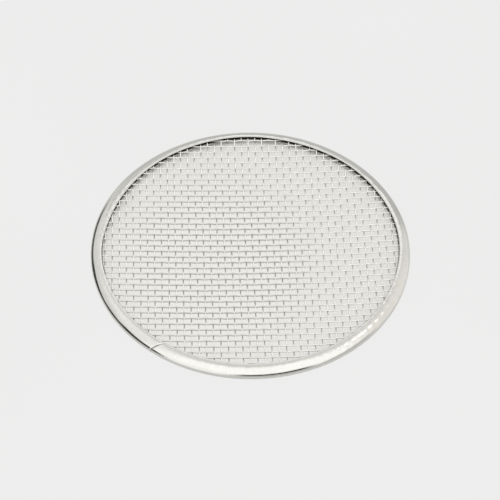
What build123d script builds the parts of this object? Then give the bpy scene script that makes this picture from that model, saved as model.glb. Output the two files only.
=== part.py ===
"""Round mesh drain cover: a dished, woven mesh held in a rim folded from one strip of sheet metal.

The cover lies flat, +Z up, with its origin on the floor under the centre of the mesh.
X runs along the weft of the mesh and Y along its warp.
"""

import os
from math import atan2, cos, degrees, radians, sin, sqrt

from build123d import *

# Rim, in millimetres and degrees
outer_radius = 95.0
rim_width = 7.0
rim_height = 6.0
strip_thickness = 0.5
fold_radius = 0.8
wall_height = 1.0
shoulder_radius = 2.0
foot_width = 1.8
return_run = 2.2
lower_lip_width = 1.6
crown_steps = 4
shoulder_steps = 3
fold_steps = 2
seam_angle = 232.0
seam_gap = 0.4

# Mesh, in millimetres
strand_count = 11
spacing_share = 0.176
strand_width = 3.0
strand_thickness = 0.8
weld_depth = 0.15
mesh_grip = 1.8
mesh_clearance = 0.1
centre_clearance = 0.5

# The rim has a low upright wall, a tight shoulder over it, and a crown that rises to the lip
lip_radius = outer_radius - rim_width
wall_top = fold_radius + wall_height
shoulder_centre = (outer_radius - shoulder_radius, wall_top)
crown_height = rim_height - wall_top
crown_radius = (rim_width**2 + crown_height**2 - 2 * rim_width * shoulder_radius) / (
    2 * (crown_height - shoulder_radius)
)
crown_centre = (lip_radius, rim_height - crown_radius)
shoulder_arc = degrees(atan2(crown_radius - crown_height, rim_width - shoulder_radius))

# The edge of the mesh lies between the two lips, just under the inner face of the crown
mesh_radius = lip_radius + mesh_grip
seat_height = crown_centre[1] + sqrt((crown_radius - strip_thickness) ** 2 - mesh_grip**2)
weave_height = 2 * strand_thickness - weld_depth
edge_height = seat_height - mesh_clearance - weave_height / 2
crimp = (strand_thickness - weld_depth) / 2
sag = edge_height - weave_height / 2 - centre_clearance

# The lower lip comes up from the foot, as far as the dished mesh leaves room over it
foot_outer = outer_radius - fold_radius
foot_inner = foot_outer - foot_width
lower_lip_outer = foot_inner - return_run
lower_lip_inner = lower_lip_outer - lower_lip_width
lowest_over_lip = edge_height - sag * (1 - ((lower_lip_inner - strand_width / 2) / mesh_radius) ** 2)
lower_lip_height = lowest_over_lip - weave_height / 2 - mesh_clearance - strip_thickness

# The strands are spread over the opening, from its middle outwards
strand_spacing = spacing_share * lip_radius
strand_places = [strand_spacing * (k - (strand_count - 1) / 2) for k in range(strand_count)]


def bend(centre, radius, first, last, steps):
    """Points of a bend in the strip, in small straight steps from one angle to another, in degrees."""
    angles = [radians(first + (last - first) * k / steps) for k in range(steps + 1)]
    return [(centre[0] + radius * cos(a), centre[1] + radius * sin(a)) for a in angles]


def dish_height(x, y):
    """Height of the middle of the weave, lowest at the centre of the dish."""
    return edge_height - sag * (1 - (x**2 + y**2) / mesh_radius**2)


def strand_outline(place, turn):
    """Side view of the strand at one place: up over one crossing, down under the next."""
    reach = sqrt((mesh_radius + strand_width) ** 2 - place**2)
    crossings = [q for q in strand_places if abs(q) < reach - 2 * strand_width]
    first_side = turn * (-1) ** strand_places.index(crossings[0])
    middle = [(-reach, edge_height - first_side * crimp)]
    side = first_side
    for crossing in crossings:
        height = dish_height(crossing, place) + side * crimp
        middle.append((crossing - strand_width / 2, height))
        middle.append((crossing + strand_width / 2, height))
        side = -side
    middle.append((reach, edge_height + side * crimp))
    upper = [(s, z + strand_thickness / 2) for s, z in middle]
    lower = [(s, z - strand_thickness / 2) for s, z in reversed(middle)]
    return upper + lower


def strand(plane, place, turn):
    """One crimped strand of the mesh, in a plane that stands along it."""
    with BuildPart() as bar:
        with BuildSketch(plane):
            with BuildLine():
                Polyline(*strand_outline(place, turn), close=True)
            make_face()
        extrude(amount=strand_width / 2, both=True)
    return bar.part


# The rim is one strip, folded round the edge of the mesh, with a butt joint at its seam
seam_arc = degrees(seam_gap / outer_radius)
first_end = radians(seam_angle + seam_arc / 2)
section_plane = Plane(
    origin=(0, 0, 0),
    x_dir=(cos(first_end), sin(first_end), 0),
    z_dir=(sin(first_end), -cos(first_end), 0),
)
with BuildPart() as folded_rim:
    with BuildSketch(section_plane):
        with BuildLine():
            Polyline(
                *bend(crown_centre, crown_radius, 90, shoulder_arc, crown_steps),
                *bend(shoulder_centre, shoulder_radius, shoulder_arc, 0, shoulder_steps)[1:],
                *bend((foot_outer, fold_radius), fold_radius, 0, -90, fold_steps),
                (foot_inner, 0),
                (lower_lip_outer, lower_lip_height),
                (lower_lip_inner, lower_lip_height),
            )
            offset(amount=strip_thickness, side=Side.RIGHT, kind=Kind.INTERSECTION)
        make_face()
    revolve(axis=Axis.Z, revolution_arc=360 - seam_arc)
folded_rim.part.label = "folded_rim"

# The mesh is one wall: strands that cross over and under, joined where they touch
with BuildPart() as woven_mesh:
    for row, place in enumerate(strand_places):
        turn = (-1) ** row
        add(strand(Plane.XZ.offset(-place), place, turn))
        add(strand(Plane.YZ.offset(place), place, -turn))
    with BuildSketch():
        Circle(mesh_radius)
    extrude(amount=rim_height, mode=Mode.INTERSECT)
woven_mesh.part.label = "woven_mesh"

os.makedirs("parts", exist_ok=True)
export_step(folded_rim.part, "parts/folded_rim.step")
export_step(woven_mesh.part, "parts/woven_mesh.step")
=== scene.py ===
"""Mesh drain cover: a dished, woven steel mesh in a rim folded from sheet strip, on a pale floor.

Lengths are in millimetres and angles in degrees, unless a comment says otherwise.
Angles round the cover start at its +X and run towards its +Y.
"""

import math
import random

import bpy
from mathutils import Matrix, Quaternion, Vector


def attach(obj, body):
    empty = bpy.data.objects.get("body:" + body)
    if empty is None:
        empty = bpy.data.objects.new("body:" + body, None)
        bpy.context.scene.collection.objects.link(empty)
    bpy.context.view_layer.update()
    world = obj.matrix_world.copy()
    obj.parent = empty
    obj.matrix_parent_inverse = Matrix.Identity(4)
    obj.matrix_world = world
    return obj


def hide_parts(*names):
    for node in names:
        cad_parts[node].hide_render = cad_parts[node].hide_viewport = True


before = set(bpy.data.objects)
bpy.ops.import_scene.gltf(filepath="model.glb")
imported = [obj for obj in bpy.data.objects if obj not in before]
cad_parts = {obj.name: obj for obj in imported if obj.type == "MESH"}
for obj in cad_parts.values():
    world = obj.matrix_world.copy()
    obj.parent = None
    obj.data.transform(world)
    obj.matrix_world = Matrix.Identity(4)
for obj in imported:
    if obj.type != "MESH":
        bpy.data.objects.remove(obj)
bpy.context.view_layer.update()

MM = 0.001

# The sizes of part.py
OUTER_R = 95.0
RIM_WIDTH = 7.0
RIM_HEIGHT = 6.0
STRIP = 0.5
FOLD_R = 0.8
WALL = 1.0
SHOULDER_R = 2.0
FOOT_WIDTH = 1.8
RETURN_RUN = 2.2
LOWER_LIP = 1.6
SEAM_ANGLE = 232.0
SEAM_GAP = 0.4
STRAND_WIDTH = 3.0
CAD_WEAVE = 1.45
MESH_GRIP = 1.8
MESH_CLEARANCE = 0.1
CENTRE_CLEARANCE = 0.5

LIP_R = OUTER_R - RIM_WIDTH
WALL_TOP = FOLD_R + WALL
CROWN_H = RIM_HEIGHT - WALL_TOP
CROWN_R = (RIM_WIDTH**2 + CROWN_H**2 - 2 * RIM_WIDTH * SHOULDER_R) / (2 * (CROWN_H - SHOULDER_R))
SHOULDER_ARC = math.degrees(math.atan2(CROWN_R - CROWN_H, RIM_WIDTH - SHOULDER_R))
MESH_R = LIP_R + MESH_GRIP
SEAT = RIM_HEIGHT - CROWN_R + math.sqrt((CROWN_R - STRIP) ** 2 - MESH_GRIP**2)
EDGE_H = SEAT - MESH_CLEARANCE - CAD_WEAVE / 2
SAG = EDGE_H - CAD_WEAVE / 2 - CENTRE_CLEARANCE
FOOT_OUT = OUTER_R - FOLD_R
FOOT_IN = FOOT_OUT - FOOT_WIDTH
LOW_OUT = FOOT_IN - RETURN_RUN
LOW_IN = LOW_OUT - LOWER_LIP
OVER_LOW_LIP = EDGE_H - SAG * (1 - ((LOW_IN - STRAND_WIDTH / 2) / MESH_R) ** 2)
LOW_Z = OVER_LOW_LIP - CAD_WEAVE / 2 - MESH_CLEARANCE - STRIP

# Steps of the section's bends. Those of the crown are finer beside the lip, from 90 degrees down to TOP_END
TOP_END = 83
TOP_STEPS = 6
CROWN_STEPS = 13
SHOULDER_STEPS = 12
FOLD_STEPS = 10
CORNER_R = 0.35
CORNER_STEPS = 4
# Points of one side of the section from the lip to the wall
UPPER_POINTS = 1 + TOP_STEPS + CROWN_STEPS + SHOULDER_STEPS
# Steps round the ring
RIM_STEPS = 600

# The lower lip shows through the mesh a little further in than the source's. It lies under LOW_TOP
LOW_EDGE = LOW_IN - 0.8
LOW_TOP = LOW_Z + STRIP + 0.05
# The upper lip curls down over its last millimetre; all above UPPER_FROM belongs to the upper leg
LIP_CURL = 0.28
CURL_FROM = LIP_R + 1.0
UPPER_FROM = LOW_Z + 2.0
# The cut edges of the strip are rounded by CUT_ROUND, that of the upper lip by LIP_BEVEL across the strip. Its
# corners above and below stand a touch higher than the curl
CUT_ROUND = 0.06
LIP_BEVEL = 0.08
CORNER_ABOVE = 0.01
CORNER_BELOW = 0.02

# Where the hand-pressed lip comes further in or out: (angle, width, distance further in)
LIP_BUMPS = (
    (152, 20, 1.0),
    (165, 9, 0.3),
    (4, 20, -0.65),
    (44, 16, -0.30),
    (90, 14, -0.40),
    (184, 15, -0.55),
)
# How closely the lower lip follows it, inwards and outwards
FOLLOW_IN = 1.05
FOLLOW_OUT = 0.42

# Slow waves in the height of the rim: (number round the ring, phase in radians, share of the height)
RIM_WAVES = ((3, 0.6, 1.0), (7, 2.0, 0.6), (13, 0.0, 0.4))
RIM_WAVE = 0.02
# How much lower and narrower the rim is drawn, so that it stays inside the source's size with its waves
RIM_LOWERED = 0.045
RIM_INSET = 0.02

# Puckers in the crown at the front right, PUCKERS_ROUND to a whole ring. They have their full height up to
# PUCKER_HALF to either side of PUCKER_AT, fade over PUCKER_FADE, and are highest at the radius PUCKER_R
PUCKER_HEIGHT = 0.24
PUCKER_AT = 318
PUCKER_HALF = 19
PUCKER_FADE = 8
PUCKER_R = 91.8
PUCKER_WIDTH = 1.6
PUCKERS_ROUND = 94

# Over SEAM_REACH the strip's ends are pulled in, one more than the other, and turned aslant by SLANT degrees
# for each millimetre inside SLANT_R and by SLANT_SHIFT everywhere
SEAM_REACH = 3.0
PULL_END = 0.05
PULL_START = 0.02
SLANT = 0.57
SLANT_R = 91.6
SLANT_SHIFT = 0.4
# Over CLOSE_REACH they come together by the share SEAM_CLOSED of the gap, less in the crown and the foot
CLOSE_REACH = 0.8
SEAM_CLOSED = 0.95
CROWN_GAPE = 1.1
FOOT_GAPE = 1.2

# The real weave. A shift is the place of wire number 0, a crimp half the height of the waves
WIRE = 0.8
WARP_PITCH = 4.18
WEFT_PITCH = 4.325
WARP_SHIFT = 1.46
WEFT_SHIFT = -0.40
WEFT_SKEW = -0.65
WARP_CRIMP = 0.60
WEFT_CRIMP = 0.19
# Beside the grip the mesh stands a little higher than the source's
RAISED_BY = 0.20
RAISED_FROM = 81.0
RAISED_WIDTH = 6.0
# Towards its edge the crimps are pressed flat, over FLAT_WIDTH and down to the share FLAT_LEAST
FLAT_WIDTH = 3.0
FLAT_LEAST = 0.35
# The wires end at WIRE_END_R. One that would lie in the grip alone, past OUTERMOST, is left out
WIRE_LIMIT = MESH_R - 0.15
WIRE_END_R = WIRE_LIMIT - 0.15 * WIRE
OUTERMOST = WIRE_LIMIT - 2.0
SHORTEST = 4.0
# The end of a wire is looked for up to FARTHEST, in this many halvings
FARTHEST = MESH_R * 1.05
HALVINGS = 30
# The two waves in which a wire strays from its straight line: (size, radians in a millimetre)
STRAYS = ((0.10, 0.031), (0.06, 0.11))
# Random numbers drawn for each wire. Four are used, and the other two keep the order of the draws
DRAWS = 6

STEEL_WARMTH = 0.045
# An oval over the cover, in which the weft is painted duller and the floor even, as a mapping of places in
# metres: its result has the length 0 in the middle of the oval and 1 at its edge
OVAL_AT = (0.37, 0.17, 0.0)
OVAL_SCALE = (17.5, 15.0, 0.0)

# The camera's turn round the part, elevation and roll
CAM_TURN = math.radians(-2.3)
CAM_EL = math.radians(49.9)
CAM_ROLL = math.radians(0.4)
# Its focal length and shift in pixels of a picture PICTURE wide, and the scale at the middle of the part
PICTURE = 500.0
FOCAL = 2480.0
SHIFT_X = -0.4
SHIFT_Y = 2.25
PIXELS_PER_MM = 1.678
SENSOR = 36.0

# Soft-edged screens round the studio, each over the ones before it: the side that its place round the horizon
# is measured from, near or far as the camera sees it, that place and its elevation, both as (low, high,
# softness), its brightness and its warmth
SCREENS = (
    # Large soft light over the camera, a lower one to its left, and weaker ones at the sides
    ("near", (-78, 92, 28), (22, 84, 12), 1.52, 0.0),
    ("near", (-54, -15, 5), (2, 40, 4), 1.38, 0.0),
    ("near", (-130, -78, 15), (36, 70, 10), 1.25, 0.0),
    ("near", (80, 130, 20), (-10, 70, 15), 1.12, 0.02),
    # Behind the part an uneven light wall over a greyer skirting
    ("far", (-34, 34, 8), (24, 52, 6), 1.38, 0.0),
    ("far", (-40, -14, 6), (26, 50, 6), 1.10, 0.0),
    ("far", (-26, 40, 6), (-30, 22, 4), 0.72, 0.0),
    ("far", (8, 18, 4), (8, 32, 4), 0.80, 0.0),
    ("far", (-30, -8, 4), (8, 34, 4), 0.82, 0.0),
    ("far", (-4, 4, 4), (18, 42, 4), 1.45, 0.0),
    # A small lamp at the right, which sparkles in the puckers of the rim
    ("far", (77, 97, 4), (44, 59, 4), 1.95, 0.0),
    # The studio's dark openings: a low one to the left that rises towards the front, and one in front
    ("near", (-147, -53, 5), (-20, 8, 4), 0.03, 0.0),
    ("near", (-124, -54, 5), (4, 14, 3), 0.03, 0.0),
    ("near", (-98, -55, 5), (4, 19, 3), 0.03, 0.0),
    ("near", (-86, -56, 5), (4, 26, 3), 0.03, 0.0),
    ("near", (-7, 38, 6), (8, 36, 4), 0.02, 0.0),
    # A grey screen to the right of them
    ("near", (44, 80, 8), (-20, 26, 8), 0.72, 0.02),
)


def rise(value, start, width):
    """0 up to start, 1 from start + width on, and a straight line between them."""
    return min(1.0, max(0.0, (value - start) / width))


def turned_from(deg, start):
    """Degrees from one angle to another, the short way round."""
    return (deg - start + 180) % 360 - 180


def smooth_object(name, verts, faces):
    """A smooth-shaded mesh object from points in millimetres."""
    mesh = bpy.data.meshes.new(name)
    mesh.from_pydata([tuple(c * MM for c in v) for v in verts], [], faces)
    mesh.update()
    mesh.polygons.foreach_set("use_smooth", [True] * len(mesh.polygons))
    obj = bpy.data.objects.new(name, mesh)
    bpy.context.scene.collection.objects.link(obj)
    return obj


def skin(base, steps, count):
    """Faces of a tube from point base on, with count points round it, closed at both ends."""
    faces = []
    for k in range(steps):
        for j in range(count):
            p, q = base + k * count + j, base + k * count + (j + 1) % count
            faces.append((p, q, q + count, p + count))
    faces.append(tuple(range(base + count - 1, base - 1, -1)))
    faces.append(tuple(range(base + steps * count, base + (steps + 1) * count)))
    return faces


# ---------------------------------------------------------------- rim


def arc(centre, radius, first, last, steps):
    """Points of an arc in the section, from one angle to another, both ends included."""
    out = []
    for k in range(steps + 1):
        a = math.radians(first + (last - first) * k / steps)
        out.append((centre[0] + radius * math.cos(a), centre[1] + radius * math.sin(a)))
    return out


def rounded(points, radius, steps):
    """An open line with its corners rounded."""
    out = [points[0]]
    for k in range(1, len(points) - 1):
        p, q, r = (Vector(points[k + d]) for d in (-1, 0, 1))
        u, w = (p - q).normalized(), (r - q).normalized()
        half = math.acos(max(-1, min(1, u.dot(w)))) / 2
        cut = radius / math.tan(half)
        centre = q + (u + w).normalized() * (radius / math.sin(half))
        a, b = q + u * cut, q + w * cut
        first = math.atan2(a.y - centre.y, a.x - centre.x)
        last = math.atan2(b.y - centre.y, b.x - centre.x)
        turn = (last - first + math.pi) % (2 * math.pi) - math.pi
        for s in range(steps + 1):
            t = first + turn * s / steps
            out.append((centre.x + radius * math.cos(t), centre.y + radius * math.sin(t)))
    out.append(points[-1])
    return out


def rim_section():
    """The closed outline of the strip, and how many of its points lie on the outside.

    It runs along the outside from the upper lip to the lower lip, and back along the inside.
    """
    crown = (LIP_R, RIM_HEIGHT - CROWN_R)
    shoulder = (OUTER_R - SHOULDER_R, WALL_TOP)
    outer = arc(crown, CROWN_R, 90, TOP_END, TOP_STEPS)
    outer += arc(crown, CROWN_R, TOP_END, SHOULDER_ARC, CROWN_STEPS)[1:]
    outer += arc(shoulder, SHOULDER_R, SHOULDER_ARC, 0, SHOULDER_STEPS)[1:]
    outer += arc((FOOT_OUT, FOLD_R), FOLD_R, 0, -90, FOLD_STEPS)
    foot = [(FOOT_OUT, 0), (FOOT_IN, 0), (LOW_OUT, LOW_Z), (LOW_EDGE, LOW_Z)]
    outer += rounded(foot, CORNER_R, CORNER_STEPS)[1:]
    inner = []
    for k, (r, z) in enumerate(outer):
        before = Vector(outer[max(k - 1, 0)])
        after = Vector(outer[min(k + 1, len(outer) - 1)])
        along = (after - before).normalized()
        inner.append((r + along.y * STRIP, z - along.x * STRIP))
    for side in (outer, inner):
        for k, (r, z) in enumerate(side):
            if z > UPPER_FROM and r < CURL_FROM:
                side[k] = (r, z - LIP_CURL * (CURL_FROM - r) ** 2)
    # The rounded cut edges
    lip_top = RIM_HEIGHT - LIP_CURL
    outer[0] = (LIP_R + CUT_ROUND, lip_top + CORNER_ABOVE)
    inner[0] = (LIP_R + CUT_ROUND, lip_top - STRIP + CORNER_BELOW)
    lip_end = [(LIP_R, lip_top - STRIP + LIP_BEVEL), (LIP_R, lip_top - LIP_BEVEL)]
    outer[-1] = (LOW_EDGE + CUT_ROUND, LOW_Z)
    inner[-1] = (LOW_EDGE + CUT_ROUND, LOW_Z + STRIP)
    low_end = [(LOW_EDGE, LOW_Z + CUT_ROUND), (LOW_EDGE, LOW_Z + STRIP - CUT_ROUND)]
    return outer + low_end + inner[::-1] + lip_end, len(outer)


def lip_reach(deg):
    """How much further in than its nominal radius the hand-pressed lip comes at an angle."""
    return sum(size * math.exp(-((turned_from(deg, at) / width) ** 2)) for at, width, size in LIP_BUMPS)


def pucker_height(deg):
    """Height of the puckers in the crown at an angle."""
    a = math.radians(deg)
    here = 1 - rise(abs(turned_from(deg, PUCKER_AT)), PUCKER_HALF, PUCKER_FADE)
    wave = 0.5 + 0.5 * math.sin(PUCKERS_ROUND * a + 1.5 * math.sin(7 * a))
    uneven = 0.75 + 0.25 * math.sin(31 * a)
    return PUCKER_HEIGHT * here * wave * uneven


def seam_closed(r, z):
    """Share of the seam's gap that is closed at a place of the section."""
    # It gapes most in the crown between the radii 91.0 and 93.2, and in the foot up to the height 0.5
    crown = rise(r, 90.3, 0.7) * (1 - rise(r, 93.2, 0.6))
    foot = 1 - rise(z, 0.5, 0.4)
    return SEAM_CLOSED - CROWN_GAPE * crown - FOOT_GAPE * foot


def make_rim(steps):
    """The strip bent to a ring, open at its seam, with the small unevenness of a hand-set fold."""
    section, outside = rim_section()
    count = len(section)
    gap = math.degrees(SEAM_GAP / OUTER_R)
    verts = []
    for k in range(steps + 1):
        share = k / steps
        deg = SEAM_ANGLE + gap / 2 + (360 - gap) * share
        a = math.radians(deg)
        # Degrees from the strip's start and to its end, and how near they are
        after, before = share * 360, (1 - share) * 360
        near_start, near_end = math.exp(-after / SEAM_REACH), math.exp(-before / SEAM_REACH)
        inset = PULL_END * near_end + PULL_START * near_start + RIM_INSET
        slant = near_end + near_start
        close = gap / 2 * (math.exp(-before / CLOSE_REACH) - math.exp(-after / CLOSE_REACH))
        wave = RIM_WAVE * sum(part * math.sin(number * a + phase) for number, phase, part in RIM_WAVES)
        reach = lip_reach(deg)
        follow = max(FOLLOW_IN * reach, FOLLOW_OUT * reach)
        pucker = pucker_height(deg)
        for j, (r, z) in enumerate(section):
            outwards = max(0.0, (r - LIP_R) / RIM_WIDTH)
            rr = r - inset * outwards
            if j < UPPER_POINTS or j >= count - 2 - UPPER_POINTS:
                rr -= reach * max(0.0, 1 - outwards) ** 1.5
                z += pucker * math.exp(-(((r - PUCKER_R) / PUCKER_WIDTH) ** 2))
            elif z < LOW_TOP and r < LOW_OUT:
                # The lower lip was pressed with the upper one
                rr -= follow * (LOW_OUT - r) / (LOW_OUT - LOW_EDGE)
            zz = z + (wave - RIM_LOWERED) * max(0.0, z / RIM_HEIGHT) ** 2
            turn = close * seam_closed(r, z) + slant * (SLANT * (SLANT_R - r) + SLANT_SHIFT)
            b = math.radians(deg + turn)
            verts.append((rr * math.cos(b), rr * math.sin(b), zz))
    obj = smooth_object("rim_strip", verts, skin(0, steps, count))
    polygons = obj.data.polygons
    for end in polygons[-2:]:
        end.use_smooth = False
    # The inner side and the cut edge of the lip take the second material, painted dark for the shade in the
    # fold
    for index in range(steps * count):
        if outside + 2 <= index % count < count - 1:
            polygons[index].material_index = 1
    return obj


# ---------------------------------------------------------------- woven mesh


def dish(x, y):
    """Height of the middle of the weave."""
    near = rise(math.hypot(x, y), RAISED_FROM, RAISED_WIDTH)
    height = EDGE_H - SAG * (1 - (x * x + y * y) / (MESH_R * MESH_R))
    return height + RAISED_BY * near * near * (3 - 2 * near)


def weave_point(u, v):
    """x and y of the weft coordinate u and the warp coordinate v."""
    t = math.radians(WEFT_SKEW)
    return u * math.cos(t), v + u * math.sin(t)


def wire_xy(s, across, drift, along_u):
    """x and y of a wire at the distance s along it, straying a little from its straight line."""
    for (size, rate), phase, part in zip(STRAYS, drift[0::2], drift[1::2]):
        across += size * math.sin(s * rate + 3 * phase) * part
    return weave_point(s, across) if along_u else weave_point(across, s)


def wire_end(sign, line):
    """The distance along a wire at which it ends, in one direction."""
    low, high = 0.0, FARTHEST
    for _ in range(HALVINGS):
        middle = (low + high) / 2
        if math.hypot(*wire_xy(sign * middle, *line)) < WIRE_END_R:
            low = middle
        else:
            high = middle
    return sign * low


def tube_points(path, radius, sides):
    """Points of a tube round a path."""
    points = []
    last = len(path) - 1
    for k, p in enumerate(path):
        tangent = (path[min(k + 1, last)] - path[max(k - 1, 0)]).normalized()
        level = tangent.cross(Vector((0, 0, 1))).normalized()
        upright = level.cross(tangent)
        for j in range(sides):
            t = 2 * math.pi * j / sides
            points.append(tuple(p + level * (radius * math.cos(t)) + upright * (radius * math.sin(t))))
    return points


def make_wires(name, seed, along_u, own, crossed, crimp, per_crossing, sides):
    """Every wire of one direction, crimped over and under the wires that it crosses.

    own and crossed are the (pitch, shift) of the two directions.
    """
    rng = random.Random(seed)
    pitch, shift = own
    crossed_pitch, crossed_shift = crossed
    verts, faces = [], []
    most = int(MESH_R / pitch) + 2
    for n in range(-most, most + 1):
        drift = [rng.uniform(-1, 1) for _ in range(DRAWS)]
        line = (n * pitch + shift, drift, along_u)
        if math.hypot(*wire_xy(0.0, *line)) >= OUTERMOST:
            continue
        start, end = wire_end(-1, line), wire_end(1, line)
        if end - start < SHORTEST:
            continue
        steps = max(6, round((end - start) / crossed_pitch * per_crossing))
        path = []
        for k in range(steps + 1):
            s = start + (end - start) * k / steps
            x, y = wire_xy(s, *line)
            free = max(FLAT_LEAST, 1 - rise(math.hypot(x, y), MESH_R - FLAT_WIDTH, FLAT_WIDTH))
            up = (-1) ** n * crimp * free * math.cos(math.pi * (s - crossed_shift) / crossed_pitch)
            path.append(Vector((x, y, dish(x, y) + up)))
        faces += skin(len(verts), steps, sides)
        verts += tube_points(path, WIRE / 2, sides)
    return smooth_object(name, verts, faces)


# ---------------------------------------------------------------- materials


class Nodes:
    """Adds nodes to one tree. An input is given as a value or as a socket to link."""

    def __init__(self, tree):
        self.tree = tree

    def feed(self, node, inputs):
        """Sets or links a node's inputs, by name or number."""
        for key, value in inputs.items():
            if isinstance(value, bpy.types.NodeSocket):
                self.tree.links.new(value, node.inputs[key])
            else:
                node.inputs[key].default_value = value

    def add(self, kind, inputs=None, **settings):
        """A new node."""
        node = self.tree.nodes.new(kind)
        for key, value in settings.items():
            setattr(node, key, value)
        self.feed(node, inputs or {})
        return node

    def calc(self, operation, a, b=0.0, c=0.0):
        """One calculation with numbers."""
        return self.add("ShaderNodeMath", {0: a, 1: b, 2: c}, operation=operation).outputs[0]

    def step(self, value, low, high, start, end, interpolation="SMOOTHSTEP"):
        """start where value is under low, end where it is over high, and a step between them."""
        inputs = {"Value": value, 1: low, 2: high, 3: start, 4: end}
        return self.add("ShaderNodeMapRange", inputs, interpolation_type=interpolation).outputs[0]

    def mapping(self, at, scale, location=(0.0, 0.0, 0.0)):
        """Coordinates, scaled and moved."""
        inputs = {"Vector": at, "Location": location, "Scale": scale}
        return self.add("ShaderNodeMapping", inputs).outputs[0]

    def length(self, vector):
        """The length of a vector."""
        return self.add("ShaderNodeVectorMath", {0: vector}, operation="LENGTH").outputs["Value"]

    def off_axis(self, at):
        """The distance of a place from the cover's axis, in metres."""
        flat = self.add("ShaderNodeVectorMath", {0: at, 1: (1.0, 1.0, 0.0)}, operation="MULTIPLY")
        return self.length(flat.outputs[0])

    def noise(self, at, scale, detail, roughness=0.5):
        """A noise between 0 and 1."""
        inputs = {"Vector": at, "Scale": scale, "Detail": detail, "Roughness": roughness}
        return self.add("ShaderNodeTexNoise", inputs).outputs["Fac"]

    def ramp(self, fac, *stops):
        """A colour ramp over fac; a stop is (place, grey or colour)."""
        node = self.add("ShaderNodeValToRGB", {"Fac": fac})
        elements = node.color_ramp.elements
        while len(elements) < len(stops):
            elements.new(0.5)
        for element, (place, colour) in zip(elements, stops):
            element.position = place
            element.color = (*colour, 1) if isinstance(colour, tuple) else (colour, colour, colour, 1)
        return node.outputs["Color"]

    def mix(self, fac, a, b, blend="MIX"):
        """Colour a where fac is 0, and where it is 1 colour b, or what the blend makes of both."""
        inputs = {"Factor": fac, 6: a, 7: b}
        return self.add("ShaderNodeMix", inputs, data_type="RGBA", blend_type=blend).outputs[2]

    def bump(self, height, strength, distance, normal=None):
        """A normal bent by a height, over another normal if there is one."""
        inputs = {"Height": height, "Strength": strength, "Distance": distance}
        if normal is not None:
            inputs["Normal"] = normal
        return self.add("ShaderNodeBump", inputs).outputs[0]


def new_material(name):
    """A new node material, its nodes and its shader."""
    mat = bpy.data.materials.new(name)
    mat.use_nodes = True
    return mat, Nodes(mat.node_tree), mat.node_tree.nodes["Principled BSDF"]


def steel(value):
    """The colour of steel at one brightness, a little warm."""
    return (value, value * (1 - 0.4 * STEEL_WARMTH), value * (1 - 1.6 * STEEL_WARMTH))


def rim_material():
    """Bright rolled steel strip: fine lines round the ring, faint rub marks and a soft unevenness."""
    mat, nodes, shader = new_material("rim_steel")
    at = nodes.add("ShaderNodeTexCoord").outputs["Object"]
    parts = nodes.add("ShaderNodeSeparateXYZ", {0: at}).outputs
    far = nodes.off_axis(at)
    # A place by angle, distance from the axis and height: rolling lines are long in the angle, short across
    turn = nodes.calc("ARCTAN2", parts["Y"], parts["X"])
    ring = nodes.add("ShaderNodeCombineXYZ", {"X": turn, "Y": far, "Z": parts["Z"]}).outputs[0]
    lines = nodes.noise(nodes.mapping(ring, (3.0, 5200.0, 5200.0)), 1.0, 3.0, 0.6)
    cloud = nodes.noise(at, 55.0, 4.0, 0.6)
    rub = nodes.noise(at, 420.0, 5.0, 0.7)
    tint = nodes.ramp(
        cloud,
        (0.30, (0.622, 0.614, 0.577)),
        (0.55, (0.648, 0.641, 0.607)),
        (0.78, (0.630, 0.618, 0.575)),
    )
    marks = nodes.ramp(rub, (0.34, 0.94), (0.5, 1.0), (1.0, 1.0))
    # Slight puckers all round the lip, where the strip was pressed down on the wires
    pucker = nodes.noise(nodes.mapping(ring, (21.0, 150.0, 150.0)), 1.0, 1.0)
    pucker = nodes.calc("MULTIPLY", pucker, nodes.step(far, 88.5 * MM, 93.2 * MM, 1.0, 0.0))
    normal = nodes.bump(lines, 0.12, 0.02 * MM)
    normal = nodes.bump(cloud, 0.1, 0.4 * MM, normal)
    normal = nodes.bump(pucker, 0.5, 0.7 * MM, normal)
    nodes.feed(shader, {
        "Base Color": nodes.mix(1.0, tint, marks, "MULTIPLY"),
        "Roughness": nodes.ramp(rub, (0.25, 0.16), (0.55, 0.10), (0.8, 0.13)),
        "Normal": normal,
        "Metallic": 1.0,
    })
    return mat


def fold_shade_material():
    """The inside of the strip, inside the fold, painted dark and dull for the shade in the fold."""
    mat, nodes, shader = new_material("rim_inside_shade")
    cloud = nodes.noise(nodes.add("ShaderNodeTexCoord").outputs["Object"], 300.0, 5.0, 0.6)
    nodes.feed(shader, {
        "Base Color": nodes.ramp(cloud, (0.30, (0.11, 0.108, 0.105)), (0.75, (0.21, 0.205, 0.20))),
        "Roughness": nodes.ramp(cloud, (0.3, 0.55), (0.7, 0.42)),
        "Metallic": 1.0,
    })
    return mat


def wire_patterns(nodes, at, scale, seed):
    """Fine drawing lines along the wire, and a broad cloud."""
    lines = nodes.noise(nodes.mapping(at, scale, (seed, seed, 0.0)), 1.0, 3.0, 0.6)
    return lines, nodes.noise(at, 60.0 + seed, 5.0, 0.65)


def finish_wire(nodes, shader, at, lines, tint, rough):
    """Lays the drawing lines and the painted shade under the lip over the tint, and feeds the wire's shader.
    """
    # Painted shade: the wires are drawn darker where the mesh goes into the fold of the rim, under the lip
    lip_shade = nodes.step(nodes.off_axis(at), 87.0 * MM, 88.6 * MM, 1.0, 0.45)
    drawn = nodes.ramp(lines, (0.35, 0.90), (0.55, 1.0), (1.0, 1.0))
    nodes.feed(shader, {
        "Base Color": nodes.mix(1.0, tint, nodes.calc("MULTIPLY", drawn, lip_shade), "MULTIPLY"),
        "Roughness": rough,
        "Normal": nodes.bump(lines, 0.15, 0.02 * MM),
        "Metallic": 1.0,
    })


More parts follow.
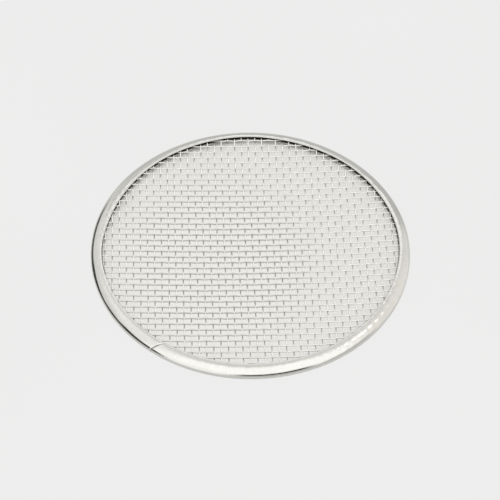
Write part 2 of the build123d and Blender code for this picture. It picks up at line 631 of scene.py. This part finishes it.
def warp_material():
    """Wire of the warp: bright, with painted shade, a duller and rougher tone, on the side that looks towards
    +Y.
    """
    mat, nodes, shader = new_material("warp_steel")
    coords = nodes.add("ShaderNodeTexCoord").outputs
    lines, cloud = wire_patterns(nodes, coords["Object"], (6000.0, 250.0, 6000.0), 3.0)
    facing = nodes.add("ShaderNodeSeparateXYZ", {0: coords["Normal"]}).outputs["Y"]
    # Painted shade: the side of each crimp that faces +Y is drawn duller, with some random spread
    plus_y_shade = nodes.calc("ADD", facing, nodes.calc("MULTIPLY_ADD", cloud, 0.30, -0.15))
    plus_y_shade = nodes.step(plus_y_shade, 0.02, 0.26, 0.0, 1.0, "LINEAR")
    tint = nodes.ramp(plus_y_shade, (0.0, steel(0.82)), (0.45, steel(0.68)), (1.0, steel(0.60)))
    rough = nodes.ramp(plus_y_shade, (0.0, 0.22), (1.0, 0.36))
    finish_wire(nodes, shader, coords["Object"], lines, tint, rough)
    return mat


def weft_material():
    """Wire of the weft, with painted light: duller in the oval and brighter outside it."""
    mat, nodes, shader = new_material("weft_steel")
    at = nodes.add("ShaderNodeTexCoord").outputs["Object"]
    lines, cloud = wire_patterns(nodes, at, (250.0, 6000.0, 6000.0), 8.0)
    away = nodes.length(nodes.mapping(at, OVAL_SCALE, OVAL_AT))
    away = nodes.calc("MULTIPLY_ADD", cloud, 0.5, away)
    # Painted light: the weft is drawn brighter outside the oval and duller inside it
    painted_sheen = nodes.step(away, 0.85, 1.60, 0.0, 1.0)
    tint = nodes.ramp(painted_sheen, (0.0, steel(0.54)), (1.0, steel(0.86)))
    rough = nodes.ramp(cloud, (0.3, 0.22), (0.7, 0.30))
    finish_wire(nodes, shader, at, lines, tint, rough)
    return mat


def floor_material():
    """Plain pale table. Seen directly, in metal or through glass it is mostly its own even tone."""
    mat, nodes, shader = new_material("pale_floor")
    at = nodes.add("ShaderNodeTexCoord").outputs["Object"]
    cloud = nodes.noise(at, 3.0, 2.0)
    nodes.feed(shader, {
        "Base Color": nodes.ramp(cloud, (0.3, (0.785, 0.785, 0.778)), (0.7, (0.800, 0.800, 0.796))),
        "Roughness": 0.75,
        "Specular IOR Level": 0.2,
    })
    path = nodes.add("ShaderNodeLightPath").outputs
    seen = nodes.calc("ADD", path["Is Camera Ray"], path["Is Glossy Ray"])
    seen = nodes.calc("ADD", seen, path["Is Transmission Ray"])
    # Narrow hollows under the part keep their full darkness
    openness = nodes.add("ShaderNodeAmbientOcclusion", {"Distance": 8.0 * MM}, samples=12).outputs["AO"]
    seen = nodes.calc("MULTIPLY", seen, nodes.step(openness, 0.29, 0.40, 0.0, 0.97))
    # Under the mesh, outside the oval, more of the real shade of the wires shows
    under = nodes.step(nodes.off_axis(at), 87.0 * MM, 90.0 * MM, 1.0, 0.0)
    shade = nodes.step(nodes.length(nodes.mapping(at, OVAL_SCALE, OVAL_AT)), 0.55, 1.45, 0.0, 0.36)
    shade = nodes.calc("MULTIPLY", shade, under)
    seen = nodes.calc("MULTIPLY", seen, nodes.calc("SUBTRACT", 1.0, shade))
    # Painted warm light: the table's even tone is drawn a little warmer under the mesh, as if lit off the
    # steel
    even = nodes.ramp(cloud, (0.3, (0.838, 0.838, 0.834)), (0.7, (0.850, 0.850, 0.848)))
    even = nodes.mix(under, even, (1.0, 0.989, 0.965, 1.0), "MULTIPLY")
    glow = nodes.add("ShaderNodeEmission", {"Color": even, "Strength": 1.0})
    table = nodes.add("ShaderNodeMixShader", {0: seen, 1: shader.outputs[0], 2: glow.outputs[0]})
    # The polished metal sees the table at a flat angle, where its smooth top mirrors the room
    edge_on = nodes.add("ShaderNodeFresnel", {"IOR": 1.5}).outputs[0]
    edge_on = nodes.step(edge_on, 0.08, 0.32, 0.0, 0.9, "LINEAR")
    edge_on = nodes.calc("MULTIPLY", edge_on, path["Is Glossy Ray"])
    gloss = nodes.add("ShaderNodeBsdfGlossy", {"Color": (0.9, 0.9, 0.9, 1.0), "Roughness": 0.12})
    table = nodes.add("ShaderNodeMixShader", {0: edge_on, 1: table.outputs[0], 2: gloss.outputs[0]})
    nodes.feed(mat.node_tree.nodes["Material Output"], {"Surface": table.outputs[0]})
    return mat


# ---------------------------------------------------------------- pieces

rim = make_rim(RIM_STEPS)
rim.data.materials.append(rim_material())
rim.data.materials.append(fold_shade_material())
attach(rim, "root")
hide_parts("folded_rim")

WARP = (WARP_PITCH, WARP_SHIFT)
WEFT = (WEFT_PITCH, WEFT_SHIFT)
warp = make_wires("warp_wires", 11, False, WARP, WEFT, WARP_CRIMP, per_crossing=8, sides=8)
warp.data.materials.append(warp_material())
weft = make_wires("weft_wires", 29, True, WEFT, WARP, -WEFT_CRIMP, per_crossing=6, sides=10)
weft.data.materials.append(weft_material())
for wires in (warp, weft):
    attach(wires, "root")
    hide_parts("woven_mesh")

# The solids keep the same steel under the dressed pieces
for node_name, piece in (("folded_rim", rim), ("woven_mesh", weft)):
    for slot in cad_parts[node_name].material_slots:
        slot.material = piece.data.materials[0]

# ---------------------------------------------------------------- floor, light and camera

FLOOR_HALF = 6000.0
corners = [(x * FLOOR_HALF * MM, y * FLOOR_HALF * MM, 0) for x, y in ((-1, -1), (1, -1), (1, 1), (-1, 1))]
floor_mesh = bpy.data.meshes.new("floor")
floor_mesh.from_pydata(corners, [], [(0, 1, 2, 3)])
floor_mesh.materials.append(floor_material())
floor = bpy.data.objects.new("floor", floor_mesh)
floor.location.z = -0.02 * MM
bpy.context.scene.collection.objects.link(floor)


def band(nodes, value, low, high, soft):
    """1 where value lies between low and high, with soft edges."""
    over = nodes.step(value, low - soft, low + soft, 0.0, 1.0)
    return nodes.calc("MULTIPLY", over, nodes.step(value, high - soft, high + soft, 1.0, 0.0))


def grey(value, warm=0.0):
    """A grey with a little warmth."""
    return (value * (1 + warm), value, value * (1 - warm), 1)


def studio(nodes):
    """The colour of the studio in every direction: a plain light grey with the screens over it."""
    ray = nodes.add("ShaderNodeTexCoord").outputs["Generated"]
    # Turned so that +Y points away from the camera and +X to its right
    turn = {"Vector": ray, "Axis": (0, 0, 1), "Angle": -CAM_TURN}
    ray = nodes.add("ShaderNodeVectorRotate", turn, rotation_type="AXIS_ANGLE").outputs[0]
    parts = nodes.add("ShaderNodeSeparateXYZ", {0: ray}).outputs
    elevation = nodes.calc("DEGREES", nodes.calc("ARCSINE", parts["Z"]))
    towards = nodes.calc("MULTIPLY", parts["Y"], -1.0)
    # Degrees round the horizon from the near or the far side: left is below 0, right above
    around = {
        "near": nodes.calc("DEGREES", nodes.calc("ARCTAN2", parts["X"], towards)),
        "far": nodes.calc("DEGREES", nodes.calc("ARCTAN2", parts["X"], parts["Y"])),
    }
    sky = nodes.mix(band(nodes, elevation, 30, 100, 30), grey(1.0), grey(0.95))
    for side, across, up, value, warm in SCREENS:
        here = nodes.calc("MULTIPLY", band(nodes, around[side], *across), band(nodes, elevation, *up))
        sky = nodes.mix(here, sky, grey(value, warm))
    return sky


world = bpy.data.worlds.new("studio")
bpy.context.scene.world = world
world.use_nodes = True
world_nodes = Nodes(world.node_tree)
world_nodes.feed(world.node_tree.nodes["Background"], {"Color": studio(world_nodes), "Strength": 1.0})

cam_data = bpy.data.cameras.new("camera")
cam_data.sensor_width = SENSOR
cam_data.lens = SENSOR * FOCAL / PICTURE
cam_data.shift_x = SHIFT_X / PICTURE
cam_data.shift_y = SHIFT_Y / PICTURE
# In metres
cam_data.clip_start = 0.05
cam_data.clip_end = 50.0
cam = bpy.data.objects.new("camera", cam_data)
bpy.context.scene.collection.objects.link(cam)
bpy.context.scene.camera = cam
level = math.cos(CAM_EL)
away = Vector((level * math.sin(CAM_TURN), -level * math.cos(CAM_TURN), math.sin(CAM_EL)))
cam.location = away * (FOCAL / PIXELS_PER_MM * MM)
cam.rotation_mode = "QUATERNION"
cam.rotation_quaternion = (-away).to_track_quat("-Z", "Y") @ Quaternion((0, 0, 1), CAM_ROLL)

bpy.context.scene.view_settings.view_transform = "Standard"
